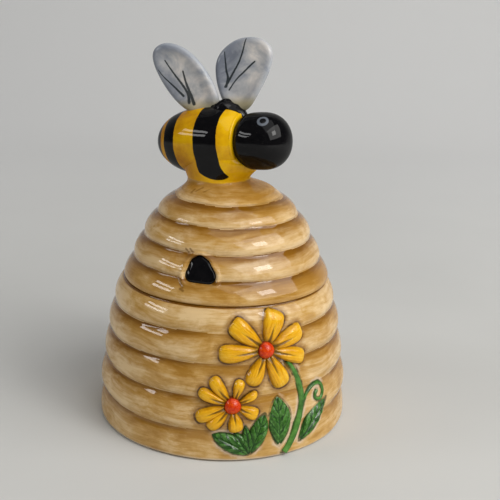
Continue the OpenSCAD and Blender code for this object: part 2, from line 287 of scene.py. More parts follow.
def lid_r(angle, z):
    """Radius of the lid's outer surface, with the rim round its doorway."""
    ends = smooth_step(z, 55, 60) * (1 - smooth_step(z, 82, 87))
    out = np.interp(z + 0.6 * waver(angle + 40, z) * ends, LID_Z, LID_OUT)
    r = lid_groove_r(z) + out + 0.12 * waver(angle + 10, 2 * z) * ends
    away = door_distance(np.radians(angle - DOOR_AT[0]) * DOOR_R, z - DOOR_AT[1])
    near = np.exp(-((np.maximum(away, -1) - 0.55) / 0.75) ** 2)
    level = lid_groove_r(z) + 1.15
    r = r + near * np.maximum(level - r, 0) + 0.28 * near
    return r - 1.9 * (1 - smooth_step(away, -0.9, 0.1))


def cylinder_point(r, angle, z):
    """The point at a radius, an angle from the doorway and a height."""
    a = np.radians(angle)
    r, a, z = np.broadcast_arrays(r, a, z)
    return np.stack([r * np.sin(a), -r * np.cos(a), z], axis=-1)


def arc(centre, r, from_deg, to_deg):
    """Six (radius, height) points of a profile's rounded edge."""
    turn = np.radians(np.linspace(from_deg, to_deg, 6))
    return [tuple(point) for point in np.array(centre) + polar(r, turn)]



def ring_values(z, grooves, ground):
    """Distance below the groove above, distance above the groove below, and the flowers' ground."""
    n = np.clip(np.searchsorted(grooves, z, side="right") - 1, 0, len(grooves) - 2)
    return np.stack([grooves[n + 1] - z, z - grooves[n], ground], axis=-1)


def make_hive_part(name, outer_r, outer_z, grooves, before, after, ground, near, shift):
    """The pot or the lid: plain rows before and after the ringed wall, all turned about the axis."""
    # Finer round the front, where the doorway and the flowers are
    front = np.linspace(-50, 74, 300, endpoint=False)
    rest = np.linspace(74, 310, 240, endpoint=False)
    angle = np.concatenate([front, rest])[None]
    rows, rings, marks = [], [], []
    for profile, is_wall in ((before, False), (outer_z, True), (after, False)):
        p = np.array(profile)
        if is_wall:
            z = p[:, None] + 0 * angle
            rows.append(cylinder_point(outer_r(angle + 0 * z, z), angle, z))
            rings.append(ring_values(z + 0.55 * waver(angle, z), grooves, ground(angle, z)))
            marks.append(near(angle + 0 * z, z))
        else:
            r, z = p[:, 0][:, None] + 0 * angle, p[:, 1][:, None] + 0 * angle
            rows.append(cylinder_point(r, angle, z))
            # The facing rims of pot and lid get a groove's brown, as painted shade in the seam between them
            seam = np.abs(z - POT_H) + np.maximum(36.5 - r, 0) * 9
            rings.append(np.stack([seam, seam, 0 * z], axis=-1))
            marks.append(np.full(r.shape + (3,), FAR))
    grid = np.concatenate(rows) + np.array(shift)
    start = (shift[0], shift[1], before[0][1])
    end = (shift[0], shift[1], after[-1][1])
    values = {"loc": np.concatenate(rings), "near": np.concatenate(marks)}
    return tube(name, grid, start, end, values)


# Raised shapes on a surface

# Length on the pot of one degree, for shapes drawn over many degrees
FLAT_MM = 0.785
# A leaf's side veins: how many along it, and how much later a vein comes for each mm away from the midrib
VEINS = 4.6
VEIN_SLANT = 0.085


def cushion(name, outline, centre, rise, place, local=None, rings=26, skirt=-1.4):
    """A crowned shape with a given outline, seen from the front in 2D and laid on a surface by place().

    rise(x, y, edge, share) is the height above the surface, and place(x, y, h) gives the point in 3D.
    local(x, y) gives the places that are stored for the material, which are else x and y.
    """
    outline, centre = np.array(outline), np.array(centre)
    share = 1 - (1 - np.linspace(0, 1, rings + 1)[1:]) ** 1.7
    flat = centre + share[:, None, None] * (outline - centre)
    edge = distance_to(flat.reshape(-1, 2), outline, closed=True).reshape(flat.shape[:2])
    edge[-1] = 0
    x, y = flat[..., 0], flat[..., 1]
    top = place(x, y, rise(x, y, edge, share[:, None]))
    inward = centre + 0.97 * (outline - centre)
    under = place(inward[None, :, 0], inward[None, :, 1], np.full((1, len(outline)), skirt))
    middle_edge = distance_to(centre[None], outline, closed=True)[0]
    start = place(*centre, rise(*centre, middle_edge, 0.0))
    x, y, edge = (np.concatenate([part, part[-1:]]) for part in (x, y, edge))
    if local:
        x, y = local(x, y)
    loc = np.stack([x, y, edge], axis=-1)
    return tube(name, np.concatenate([top, under]), start, place(*centre, skirt), {"loc": loc})


def dome(base, height, squareness, steepness):
    """A rise() that is the same all round."""
    return lambda x, y, edge, share: base + height * (1 - share**squareness) ** steepness


def on_pot(angle, z):
    """A place() for shapes drawn about a point on the pot, x to the right and y up."""
    scale = degrees_per_mm(z)

    def place(x, y, h):
        at_z = z + np.asarray(y, float)
        return cylinder_point(pot_groove_r(at_z) + 1.0 + h, angle + np.asarray(x) * scale, at_z)

    return place


def turned(points, clockwise):
    """2D points, turned clockwise by an angle in degrees."""
    a = math.radians(-clockwise)
    turn = np.array([[math.cos(a), -math.sin(a)], [math.sin(a), math.cos(a)]])
    return np.array(points) @ turn.T


def pointing(direction, length):
    """A local() for a shape that points in a direction: x across it, y from 0 at its root to 1 at its tip."""
    a = math.radians(direction)

    def local(x, y):
        return x * math.cos(a) - y * math.sin(a), (x * math.sin(a) + y * math.cos(a)) / length

    return local


def two_sided(half, bend, y, count):
    """An outline that points up, from its half width, its middle's bend and its height at each step."""
    right = np.stack([half + bend, y], axis=-1)
    left = np.stack([bend - half, y], axis=-1)[-2::-1]
    return resample(np.vstack([right, left, right[:1]]), count + 1)[:-1]


def petal_outline(length, width, squareness, lean):
    """A petal that points up: narrow where it leaves the flower's heart, broad and round at its tip."""
    start, shoulder = 2.0, 0.7
    round_steps = np.sin(np.linspace(0, math.pi / 2, 14)[1:])
    s = np.concatenate([np.linspace(0, shoulder, 14), shoulder + (1 - shoulder) * round_steps])
    body = 0.36 + 0.64 * np.sin(np.minimum(s / 0.72, 1) * math.pi / 2) ** 1.25
    past = np.clip((s - shoulder) / (1 - shoulder), 0, 1)
    tip = (1 - past**squareness) ** (1 / squareness)
    return two_sided(width / 2 * body * tip, lean * s**2, start + s * (length - start), 84)


def make_petal(name, at, direction, length, width, squareness, lean):
    """A plump petal with a crease that runs out from its root."""
    outline = turned(petal_outline(length, width, squareness, lean), direction)
    centre = turned([(lean * 0.3, length * 0.58)], direction)[0]
    local = pointing(direction, length)

    def rise(x, y, edge, share):
        across, along = local(x, y)
        s = np.clip(along, 0, 1)
        across = across - lean * s**2
        crown = (1 - np.clip(share, 0, 1) ** 3.0) ** 0.62
        crease = 0.42 * np.exp(-((across / 0.42) ** 2)) * (1 - smooth_step(s, 0.35, 0.8))
        fold = 0.132 * np.exp(-(((np.abs(across) - 0.27 * width) / 0.35) ** 2))
        fold = fold * (1 - smooth_step(s, 0.4, 0.9))
        scoop = 0.3 * smooth_step(s, 0.9, 0.35)
        return -0.5 + (2.3 - scoop) * crown + (0.3 * s - crease + fold) * np.minimum(edge / 0.8, 1)

    return cushion(name, outline, centre, rise, on_pot(*at), local)


def leaf_outline(length, width, belly, lean):
    """A pointed leaf that points up, from its root at the origin. It is broadest at the belly."""
    s = (1 - np.cos(np.linspace(0, math.pi, 40))) / 2
    peak = np.where(s < belly, 0.5 * s / belly, 0.5 + 0.5 * (s - belly) / (1 - belly))
    return two_sided(width / 2 * np.sin(peak * math.pi) ** 0.7, lean * np.sin(s * math.pi), s * length, 90)


def make_leaf(name, at, direction, length, width, belly, lean, lift):
    """A leaf with a sunk midrib and folds between its side veins."""
    outline = turned(leaf_outline(length, width, belly, lean), direction)
    centre = turned([(lean, length * 0.48)], direction)[0]
    local = pointing(direction, length)

    def rise(x, y, edge, share):
        across, along = local(x, y)
        s = np.clip(along, 0, 1)
        across = across - lean * np.sin(s * math.pi)
        crown = (1 - np.clip(share, 0, 1) ** 3.2) ** 0.6
        midrib = 0.55 * np.exp(-((across / 0.5) ** 2)) * (1 - smooth_step(s, 0.75, 1.0))
        wave = np.cos((s - VEIN_SLANT * np.abs(across)) * VEINS * 2 * math.pi)
        fold = -0.22 * wave * smooth_step(np.abs(across), 0.3, 1.2) * smooth_step(edge, 0.4, 1.4)
        return -0.5 + (1.7 + lift) * crown + (fold - midrib) * np.minimum(edge / 0.7, 1)

    return cushion(name, outline, centre, rise, on_pot(*at), local)


def strand(name, points, width, height, end_sizes):
    """A rounded strip of clay on the pot, along points given as (angle, height)."""
    path = open_curve([(p[0] * FLAT_MM, p[1]) for p in points], 110)
    run = np.gradient(path, axis=0)
    run /= np.linalg.norm(run, axis=1)[:, None]
    side = np.stack([run[:, 1], -run[:, 0]], axis=-1)
    share = np.linspace(0, 1, len(path))
    first, last = end_sizes
    size = np.minimum(1, first + (1 - first) * smooth_step(share, 0, 0.25))
    size *= np.minimum(1, last + (1 - last) * (1 - smooth_step(share, 0.7, 1)))
    turn = turns(28)
    across = np.cos(turn)[None] * (width / 2 * size)[:, None]
    h = -0.6 + np.sin(turn)[None] * (height * (0.4 + 0.6 * size))[:, None]
    flat = path[:, None] + across[..., None] * side[:, None]
    z = flat[..., 1]
    grid = cylinder_point(pot_groove_r(z) + 1.0 + np.maximum(h, -1.6), flat[..., 0] / FLAT_MM, z)
    middle = grid.mean(1)
    start = middle[0] + 0.25 * (middle[0] - middle[1])
    end = middle[-1] + 0.25 * (middle[-1] - middle[-2])
    loc = np.stack([across, share[:, None] + 0 * across, width / 2 - np.abs(across)], axis=-1)
    return tube(name, grid, start, end, {"loc": loc})


# Node materials

class Shader:
    """Builds one material's node tree."""

    def __init__(self, name):
        self.material = bpy.data.materials.new(name)
        self.material.use_nodes = True
        self.tree = self.material.node_tree
        self.tree.nodes.clear()
        self.output = self.tree.nodes.new("ShaderNodeOutputMaterial")

    def node(self, kind, sockets, **settings):
        """A new node. sockets holds a number, vector or output for each input that is used."""
        made = self.tree.nodes.new(kind)
        for key, value in settings.items():
            setattr(made, key, value)
        for key, value in sockets.items():
            self.feed(made.inputs[key], value)
        return made

    def feed(self, socket, value):
        if isinstance(value, bpy.types.NodeSocket):
            self.tree.links.new(value, socket)
        else:
            socket.default_value = value

    def math(self, operation, *values, clamp=False):
        made = self.node("ShaderNodeMath", dict(enumerate(values)), operation=operation, use_clamp=clamp)
        return made.outputs[0]

    def vector_math(self, operation, sockets):
        return self.node("ShaderNodeVectorMath", sockets, operation=operation).outputs[0]

    def times(self, a, b, clamp=False):
        """a * b"""
        return self.math("MULTIPLY", a, b, clamp=clamp)

    def plus(self, base, value, amount):
        """base + value * amount"""
        return self.math("MULTIPLY_ADD", value, amount, base)

    def vary(self, base, value, amount):
        """base, moved by a noise value that is taken as 0 at its middle."""
        return self.plus(base, self.math("SUBTRACT", value, 0.5), amount)

    def split(self, vector):
        """The three components of a vector."""
        return self.node("ShaderNodeSeparateXYZ", {0: vector}).outputs

    def attribute(self, name):
        """The three components of what the mesh stores under a name."""
        return self.split(self.node("ShaderNodeAttribute", {}, attribute_name=name).outputs["Vector"])

    def place(self, scale=1.0, warp=None):
        """Position in the object's frame in mm, times one scale or one for each axis, plus warp."""
        coords = self.node("ShaderNodeTexCoord", {}).outputs["Object"]
        scaled = self.vector_math("MULTIPLY", {0: coords, 1: [s / MM for s in np.broadcast_to(scale, 3)]})
        return self.vector_math("ADD", {0: scaled, 1: warp}) if warp else scaled

    def noise(self, scale, detail=3.0, roughness=0.55, distortion=0.0, warp=None):
        """Noise with about one feature for each 1 / scale mm."""
        return self.noise_at(self.place(scale, warp), detail, roughness, distortion).outputs["Fac"]

    def noise_at(self, vector, detail, roughness, distortion=0.0):
        """A noise node, for its grey and its colour."""
        return self.node("ShaderNodeTexNoise", {
            "Vector": vector, "Scale": 1.0, "Detail": detail, "Roughness": roughness, "Distortion": distortion
        })

    def span(self, value, low, high, to_low=0.0, to_high=1.0, smooth=True):
        """value's run from low to high, turned into one from to_low to to_high, and held beyond."""
        ends = {"Value": value, "From Min": low, "From Max": high, "To Min": to_low, "To Max": to_high}
        kind = "SMOOTHSTEP" if smooth else "LINEAR"
        return self.node("ShaderNodeMapRange", ends, interpolation_type=kind).outputs["Result"]

    def mix(self, factor, a, b):
        a, b = ((*value, 1) if isinstance(value, tuple) else value for value in (a, b))
        return self.node("ShaderNodeMix", {"Factor": factor, 6: a, 7: b}, data_type="RGBA").outputs[2]

    def ramp(self, value, *stops):
        """A colour that runs through stops of (value, colour)."""
        made = self.node("ShaderNodeValToRGB", {"Fac": value})
        elements = made.color_ramp.elements
        while len(elements) < len(stops):
            elements.new(0.5)
        for element, (at, colour) in zip(elements, stops):
            element.position = at
            element.color = (*colour, 1)
        return made.outputs["Color"]

    def finish(
        self, colour, height=None, bump=0.02, roughness=0.3, coat=0.65, coat_roughness=0.02, coat_bump=0.3
    ):
        """A glaze: coloured body under a clear glassy coat.

        height is the relief and bump its depth in mm. coat_bump is the share of it that the coat shows.
        """
        shader = self.node("ShaderNodeBsdfPrincipled", {
            "Base Color": colour, "Roughness": roughness, "Specular IOR Level": 0.0,
            "Coat Weight": coat, "Coat Roughness": coat_roughness, "Coat IOR": 1.5,
        })
        if height is not None:
            for socket, share in (("Normal", 1.0), ("Coat Normal", coat_bump)):
                relief = self.node("ShaderNodeBump", {"Distance": bump * share * MM, "Height": height})
                self.feed(shader.inputs[socket], relief.outputs["Normal"])
        self.feed(self.output.inputs["Surface"], shader.outputs["BSDF"])
        return self.material


CREAM = (0.82, 0.59, 0.305)
STRAW_TAN = (0.60, 0.355, 0.105)
HONEY = (0.44, 0.225, 0.04)
WASH = (0.27, 0.112, 0.006)
BROWN = (0.15, 0.056, 0.004)
UMBER = (0.07, 0.028, 0.005)
PETAL_SHADE = (0.30, 0.145, 0.03)
PALE_CLAY_AND_HIGHLIGHT = (0.74, 0.58, 0.42)
FOOT_CLAY = (0.74, 0.64, 0.50)
LEAF_LINE = (0.07, 0.06, 0.012)
TICK_BROWN = (0.17, 0.075, 0.01)
JET = (0.0015, 0.0015, 0.002)
SOFT_BLACK = (0.005, 0.0045, 0.005)
SPECK_GREY = (0.10, 0.09, 0.085)


def straw_paint(s, below, above, ground):
    """Cream clay with honey smears under the brown wash of the grooves, and the relief of the brush.

    below and above are the distances to the grooves above and below a place, in mm.
    """
    drift = s.noise_at(s.place(0.05), 1, 0.55).outputs["Color"]
    warp = s.vector_math("SCALE", {0: drift, "Scale": 3.0})
    streak = s.noise((0.055, 0.055, 0.75), 6, 0.6, warp=warp)
    fine = s.noise((0.2, 0.2, 3.4), 5, 0.65, warp=warp)
    slant = s.noise((0.5, 0.35, 0.9), 5, 0.7, warp=warp)
    patch = s.noise((0.045, 0.045, 0.08))
    smear = s.noise((0.13, 0.13, 0.3), 4, 0.6, warp=warp)
    position = s.split(s.place())
    x, z = position[0], position[2]

    light = s.span(below, 1.0, 6.5, 0.34, 0.6)
    for value, amount in ((streak, 0.85), (patch, 1.3), (smear, 0.9), (fine, 0.35), (slant, 0.3)):
        light = s.vary(light, value, amount)
    light = s.plus(light, ground, -0.12)
    # The colour is darker, towards honey, low on the pot and on the crown, and more honey wash lies on the
    # lid's lowest ring right of the doorway
    light = s.math("ADD", light, s.span(z, 2, 46, -0.13, 0.0))
    light = s.math("ADD", light, s.span(z, 84, 87, 0.0, -0.12))
    lowest = s.times(s.span(z, 53.8, 55.0), s.span(z, 59.0, 62.5, 1, 0))
    lowest = s.times(lowest, s.span(x, -12, 8, 0.25, 1))
    light = s.plus(light, lowest, -0.34)
    colour = s.ramp(light, (0.07, HONEY), (0.38, STRAW_TAN), (0.74, CREAM))

    # The brown wash lies in each groove and thins out downwards over the ring below it
    ragged = s.vary(s.vary(below, smear, 1.6), streak, 3.4)
    soft = s.math("POWER", 2.718, s.times(s.math("MAXIMUM", ragged, 0.0), -0.36))
    soft = s.times(soft, s.span(patch, 0.3, 0.62, 0.75, 1.2))
    soft = s.times(soft, s.times(s.span(ground, 0.1, 0.9, 1, 0.5), s.span(z, 5, 42, 0.75, 1)))
    colour = s.mix(s.times(soft, 1.15, clamp=True), colour, WASH)
    core = s.span(s.vary(s.vary(below, streak, 2.0), fine, 1.2), 0.0, 2.3, 1, 0)
    lip = s.span(s.vary(above, fine, 0.8), 0.0, 0.8, 0.8, 0)
    core = s.times(s.math("MAXIMUM", core, lip), s.span(ground, 0.1, 0.9, 1, 0.25))
    core = s.times(core, s.times(s.span(smear, 0.36, 0.6, 0.45, 0.85), s.span(z, 8, 44, 0.5, 1)))
    colour = s.mix(core, colour, BROWN)
    height = s.plus(s.math("ADD", streak, s.times(slant, 0.6)), fine, 0.6)
    return colour, height, slant, s.vary(z, streak, 2.0)


def straw_glaze():
    s = Shader("straw_glaze")
    below, above, ground = s.attribute("loc")
    petal, leaf, mark = s.attribute("near")
    colour, height, slant, rise = straw_paint(s, below, above, ground)
    broken = s.span(s.noise(0.3), 0.4, 0.6, 0.3, 0.9)
    # Painted shadow in brown round the petals, and a broken dark line along them that is partly outline and
    # partly painted shade in the join
    colour = s.mix(s.span(s.vary(petal, slant, 3.0), 0.1, 2.4, 0.75, 0), colour, PETAL_SHADE)
    colour = s.mix(s.times(s.span(s.vary(petal, slant, 0.6), 0.1, 0.55, 1, 0), broken), colour, UMBER)
    # Pale patches round the leaves, partly bare clay and partly painted highlight, with a broken dark line
    # too
    bare_and_highlight = s.span(s.vary(leaf, slant, 3.0), 0.3, 1.6, 1, 0)
    patches = s.span(s.noise(0.13, 1), 0.42, 0.6, 0.0, 0.75)
    colour = s.mix(s.times(bare_and_highlight, patches), colour, PALE_CLAY_AND_HIGHLIGHT)
    colour = s.mix(s.times(s.span(s.vary(leaf, slant, 0.5), 0.05, 0.4, 1, 0), broken), colour, LEAF_LINE)
    colour = s.mix(s.span(s.vary(mark, slant, 1.0), 0.1, 0.65, 0.75, 0), colour, TICK_BROWN)
    specks = s.noise(2.1, 2, 0.8)
    colour = s.mix(s.span(specks, 0.72, 0.78, 0, 0.6), colour, BROWN)
    colour = s.mix(s.span(rise, 0.5, 1.6, 0.7, 0), colour, FOOT_CLAY)
    return s.finish(colour, height, bump=0.06, roughness=0.4, coat=0.9, coat_roughness=0.06, coat_bump=0.015)


def petal_glaze():
    s = Shader("petal_glaze")
    across, along, edge = s.attribute("loc")
    wobble = s.noise(0.5)
    # Streaks run along each petal
    lengthwise = {0: s.times(across, 1.5), 1: s.times(along, 2.2), 2: s.noise(0.08)}
    streak = s.noise_at(s.node("ShaderNodeCombineXYZ", lengthwise).outputs[0], 5, 0.65).outputs["Fac"]
    tone = s.plus(s.plus(s.times(streak, 0.7), along, 0.25), wobble, 0.3)
    colour = s.ramp(
        tone, (0.34, (0.42, 0.18, 0.004)), (0.56, (0.74, 0.34, 0.005)), (0.74, (0.86, 0.46, 0.015)),
        (0.9, (0.92, 0.60, 0.08)),
    )
    # Crease strokes out from the heart, a darker root and rim, and a broken dark outline that is partly
    # outline and partly painted shade where the petal meets the pot
    aside = s.math("ABSOLUTE", s.vary(across, wobble, 0.6))
    width = s.span(along, 0.2, 0.75, 0.3, 0.02)
    crease = s.span(s.math("SUBTRACT", aside, width), 0.0, 0.32, 1, 0)
    crease = s.times(crease, s.span(along, 0.45, 0.78, 0.85, 0))
    colour = s.mix(crease, colour, (0.12, 0.055, 0.006))
    colour = s.mix(s.span(along, 0.18, 0.36, 0.7, 0), colour, (0.12, 0.07, 0.01))
    colour = s.mix(s.span(s.plus(edge, wobble, 1.0), 0.5, 1.8, 0.6, 0), colour, (0.40, 0.17, 0.004))
    broken = s.span(s.noise(0.33), 0.4, 0.6, 0.2, 1)
    outline = s.times(s.span(s.plus(edge, wobble, 0.5), 0.3, 0.6, 1, 0), broken)
    colour = s.mix(outline, colour, (0.05, 0.028, 0.006))
    return s.finish(colour, streak, bump=0.3)


def centre_glaze():
    s = Shader("centre_glaze")
    edge = s.attribute("loc")[2]
    mottle = s.noise(1.1, 4, 0.7)
    colour = s.ramp(
        mottle, (0.25, (0.42, 0.012, 0.002)), (0.52, (0.68, 0.045, 0.002)), (0.8, (0.86, 0.17, 0.012))
    )
    colour = s.mix(s.span(edge, 0.12, 0.65, 0.9, 0), colour, (0.10, 0.02, 0.008))
    return s.finish(colour, mottle, bump=0.2)


def leaf_glaze():
    s = Shader("leaf_glaze")
    across, along, edge = s.attribute("loc")
    wobble = s.noise(0.8, 4, 0.65)
    shade = s.noise(0.45, 5, 0.7)
    colour = s.ramp(
        shade, (0.28, (0.025, 0.08, 0.012)), (0.46, (0.045, 0.15, 0.02)), (0.6, (0.09, 0.25, 0.045)),
        (0.76, (0.28, 0.45, 0.18)),
    )
    away = s.math("ABSOLUTE", across)
    midrib = s.span(s.plus(away, wobble, 0.5), 0.35, 0.65, 0.9, 0)
    vein = s.times(s.plus(along, away, -VEIN_SLANT), VEINS)
    vein = s.math("FRACT", s.plus(vein, wobble, 0.8))
    vein = s.span(s.math("ABSOLUTE", s.math("SUBTRACT", vein, 0.5)), 0.05, 0.2, 0.85, 0)
    vein = s.times(vein, s.span(shade, 0.36, 0.52, 0.45, 1))
    colour = s.mix(s.math("MAXIMUM", midrib, vein), colour, (0.008, 0.035, 0.007))
    colour = s.mix(s.span(edge, 0.1, 0.55, 0.7, 0), colour, (0.02, 0.045, 0.01))
    return s.finish(colour, wobble, bump=0.25)


def stem_glaze():
    s = Shader("stem_glaze")
    across, along, edge = s.attribute("loc")
    shade = s.noise(0.22, 4, 0.6)
    # Painted shade and painted highlight: darker along one side of the stem and tendril and lighter along the
    # other
    colour = s.ramp(
        s.plus(shade, across, 0.14), (0.3, (0.022, 0.075, 0.012)), (0.5, (0.06, 0.19, 0.028)),
        (0.72, (0.16, 0.38, 0.08)),
    )
    colour = s.mix(s.span(edge, 0.05, 0.4, 0.6, 0), colour, (0.012, 0.05, 0.01))
    return s.finish(colour, shade, bump=0.15)


def black_glaze():
    s = Shader("black_glaze")
    mottle = s.noise(0.4, 4)
    colour = s.ramp(mottle, (0.3, JET), (0.75, SOFT_BLACK))
    colour = s.mix(s.span(s.noise(2.2, 1), 0.74, 0.78, 0, 0.35), colour, SPECK_GREY)
    return s.finish(colour, mottle, bump=0.03, roughness=0.25, coat=0.42)


# Where the black bands begin and end along the bee's body, the broad one behind the yellow collar
TAIL_BANDS = ((-26.0, -20.2), (-17.9, -12.4))
BROAD_BAND = (-3.24, 6.18)


def bee_glaze():
    s = Shader("bee_glaze")
    along, across, up = s.attribute("loc")
    drift = s.noise(0.16, roughness=0.6)
    # Low on the belly the bands swing towards the head
    depth = s.span(up, -13.4, -5.0, 1, 0, smooth=False)
    at = s.vary(s.plus(along, s.times(depth, depth), -3.4), drift, 0.9)
    shade = s.noise(0.11, 4, 0.6)
    yellow = s.ramp(
        s.plus(shade, along, 0.012), (0.22, (0.44, 0.18, 0.002)), (0.46, (0.66, 0.33, 0.003)),
        (0.66, (0.80, 0.47, 0.004)),
    )

    def band(low, high):
        return s.times(s.span(at, low - 0.1, low + 0.1), s.span(at, high - 0.1, high + 0.1, 1, 0))

    # The broad band runs out in a rounded point low on the belly
    aside = s.math("SUBTRACT", at, 2.6)
    above_point = s.plus(s.math("ADD", up, 12.7), s.times(aside, aside), -0.085)
    black = s.times(band(*BROAD_BAND), s.span(above_point, -0.2, 0.2))
    for ends in TAIL_BANDS:
        black = s.math("MAXIMUM", black, band(*ends))
    dark = s.ramp(s.noise(0.5), (0.3, JET), (0.8, SOFT_BLACK))
    colour = s.mix(black, yellow, dark)
    # Straw paint comes up the foot of the neck, with brush ticks
    straw = straw_paint(s, 3.2, 5.0, 0.0)[0]
    straw = s.mix(s.times(s.attribute("tick")[0], 0.75), straw, TICK_BROWN)
    level = s.vary(s.split(s.place())[2], drift, 1.2)
    colour = s.mix(s.span(level, 90.6, 91.2), straw, colour)
    return s.finish(colour, shade, bump=0.12, coat=0.45)


def wing_glaze():
    s = Shader("wing_glaze")
    across, up, edge = s.attribute("loc")
    drift = s.noise(0.11, roughness=0.6)
    patches = s.noise((0.07, 0.09, 0.09), 4, 0.6, distortion=0.6)
    tone = s.vary(patches, s.noise(0.6, 5, 0.7), 0.12)
    # Painted shade and light: each wing is darker towards the tail and lighter towards the head
    tone = s.math("ADD", tone, s.span(across, -9, 8, -0.07, 0.09))
    colour = s.ramp(
        tone, (0.34, (0.17, 0.185, 0.22)), (0.45, (0.29, 0.305, 0.335)), (0.56, (0.45, 0.45, 0.455)),
        (0.68, (0.66, 0.62, 0.58)),
    )
    # A blue-grey rim with a pale outer edge, thinned towards the head as a painted highlight on the lit rim,
    # and yellow brushed up from the root
    rim = s.times(s.span(s.vary(edge, drift, 5.0), 0.6, 4.5, 0.75, 0), s.span(across, -2, 8, 1, 0.35))
    colour = s.mix(rim, colour, (0.19, 0.21, 0.255))
    colour = s.mix(s.span(s.plus(edge, drift, 1.0), 0.5, 1.5, 0.6, 0), colour, (0.42, 0.45, 0.49))
    colour = s.mix(s.span(up, 1.5, 5.5, 0.55, 0), colour, (0.36, 0.28, 0.06))
    line = s.span(s.vary(s.attribute("vein")[0], s.noise(0.9, 2), 0.7), 0.75, 1.35, 1, 0)
    colour = s.mix(s.times(line, 0.93), colour, (0.016, 0.022, 0.024))
    return s.finish(colour, drift, bump=0.4)


def eye_glaze():
    s = Shader("eye_glaze")
    edge = s.vary(s.attribute("loc")[2], s.noise(1.0, 2), 0.25)
    ring = s.times(s.span(edge, 0.1, 0.35), s.span(edge, 1.05, 1.35, 1, 0))
    colour = s.mix(ring, (0.007, 0.007, 0.008), (0.13, 0.145, 0.17))
    return s.finish(colour, roughness=0.25, coat=0.5)


STRAW = straw_glaze()
PETAL = petal_glaze()
CENTRE = centre_glaze()
LEAF = leaf_glaze()
STEM = stem_glaze()
BLACK = black_glaze()
BEE = bee_glaze()
WING = wing_glaze()
EYE = eye_glaze()


# Where the flowers and the brush ticks are

# Places are given as (angle, height)
LARGE_AT = (34.8, 39.6)
SMALL_AT = (19.4, 20.7)
# Direction clockwise from up, length, width, squareness of the tip, lean of the tip to the right
LARGE_PETALS = (
    (-51.5, 16.0, 7.4, 3.2, 0.2), (20.5, 14.0, 8.8, 3.8, 0.0), (73.0, 16.4, 7.0, 2.8, -0.5),
    (107.0, 16.6, 6.2, 3.2, 0.3), (156.5, 15.4, 7.4, 2.6, -0.4), (-156.0, 13.6, 6.4, 2.4, 0.3),
    (-94.0, 17.0, 6.9, 2.8, 0.4),
)
SMALL_PETALS = (
    (-39.0, 12.6, 5.2, 2.6, 0.4), (17.5, 9.9, 4.3, 2.4, 0.0), (66.0, 9.9, 3.5, 2.2, -0.3),
    (113.0, 10.0, 5.1, 2.8, 0.2), (170.5, 10.0, 5.5, 2.8, 0.2), (-137.0, 11.9, 5.0, 2.6, 0.3),
    (-110.0, 13.9, 5.4, 2.6, -0.3), (-69.5, 13.2, 4.8, 2.6, 0.4),
)
CLUSTER_AT = (26.8, 2.6)
# Direction clockwise from up, length, width, share of the length at which it is broadest, bend, extra height
CLUSTER = (
    (-61, 15.6, 6.6, 0.5, 0.6, 0.0), (-34, 10.0, 4.8, 0.5, 0.2, 0.2), (-8, 11.0, 3.6, 0.5, 0.0, 0.35),
    (22, 16.0, 6.8, 0.55, 0.3, 0.1),
)
SINGLE_LEAVES = (
    ("leaf_upright", (40.5, 3.9), (-2, 18.8, 9.6, 0.56, 0.8, 0.0)),
    ("leaf_right", (50.2, 3.9), (53, 20.6, 7.2, 0.48, -0.5, 0.0)),
)
# Points and width of the stem and the tendril
STEM_PATH = (
    (45.6, 34.4), (48.4, 31.3), (50.8, 27.0), (52.6, 21.2), (51.6, 15.2), (48.6, 8.6), (45.2, 4.0),
    (42.6, 1.6),
)
STEM_W = 2.7
TENDRIL_PATH = (
    (51.6, 12.5), (52.4, 16.0), (55.6, 20.7), (60.6, 23.0), (65.2, 22.4), (66.8, 19.4), (65.0, 16.9),
    (61.9, 17.2), (61.0, 19.0), (62.6, 20.4),
)
TENDRIL_W = 1.7

# Brush ticks beside the doorway, from one place to another on the lid
TICKS = (
    ((-12.2, 71.4), (-10.4, 70.5)), ((-9.2, 71.7), (-7.4, 70.6)), ((-11.2, 60.3), (-9.4, 59.4)),
    ((-10.4, 58.9), (-8.6, 58.4)),
)
# And those on the foot of the neck
NECK_TICKS = (((-35.9, 87.6), (-36.3, 88.6)), ((-31.0, 88.2), (-26.5, 89.4)), ((-18.2, 88.5), (-11.0, 89.7)))


def near_flowers(angle, z):
    """For places on the pot, the distance to the nearest petal and to the nearest leaf or stem, in mm."""
    far = np.full(angle.shape + (3,), FAR)
    close = (angle > -3) & (angle < 82)
    a, z = angle[close], z[close]

    def away(at, outline):
        points = np.stack([(a - at[0]) / degrees_per_mm(at[1]), z - at[1]], axis=-1)
        return distance_to(points, outline, closed=True) * ~is_inside(points, outline)

    petals = [
        away(at, turned(petal_outline(*shape), direction))
        for at, sizes in ((LARGE_AT, LARGE_PETALS), (SMALL_AT, SMALL_PETALS)) for direction, *shape in sizes
    ]
    placed = [(CLUSTER_AT, size) for size in CLUSTER] + [leaf[1:] for leaf in SINGLE_LEAVES]
    leaves = [away(at, turned(leaf_outline(*size[1:5]), size[0])) for at, size in placed]
    flat = np.stack([a * FLAT_MM, z], axis=-1)
    for path, width in ((STEM_PATH, STEM_W), (TENDRIL_PATH, TENDRIL_W)):
        line = open_curve([(p[0] * FLAT_MM, p[1]) for p in path], 60)
        leaves.append(np.maximum(distance_to(flat, line) - width / 2, 0))
    far[close, 0] = np.min(petals, axis=0)
    far[close, 1] = np.min(leaves, axis=0)
    return far


def near_ticks(angle, z):
    """For places on the lid, the distance to the nearest brush tick, in mm."""
    r = lid_groove_r(z)
    points = np.stack([np.radians(angle) * r, z], axis=-1).reshape(-1, 2)
    away = []
    for tick in TICKS:
        at_r = float(lid_groove_r(np.array(tick[0][1])))
        line = [(math.radians(a) * at_r, height) for a, height in tick]
        away.append(distance_to(points, line))
    far = np.full(angle.shape + (3,), FAR)
    far[..., 2] = np.min(away, axis=0).reshape(angle.shape)
    return far


# The pot

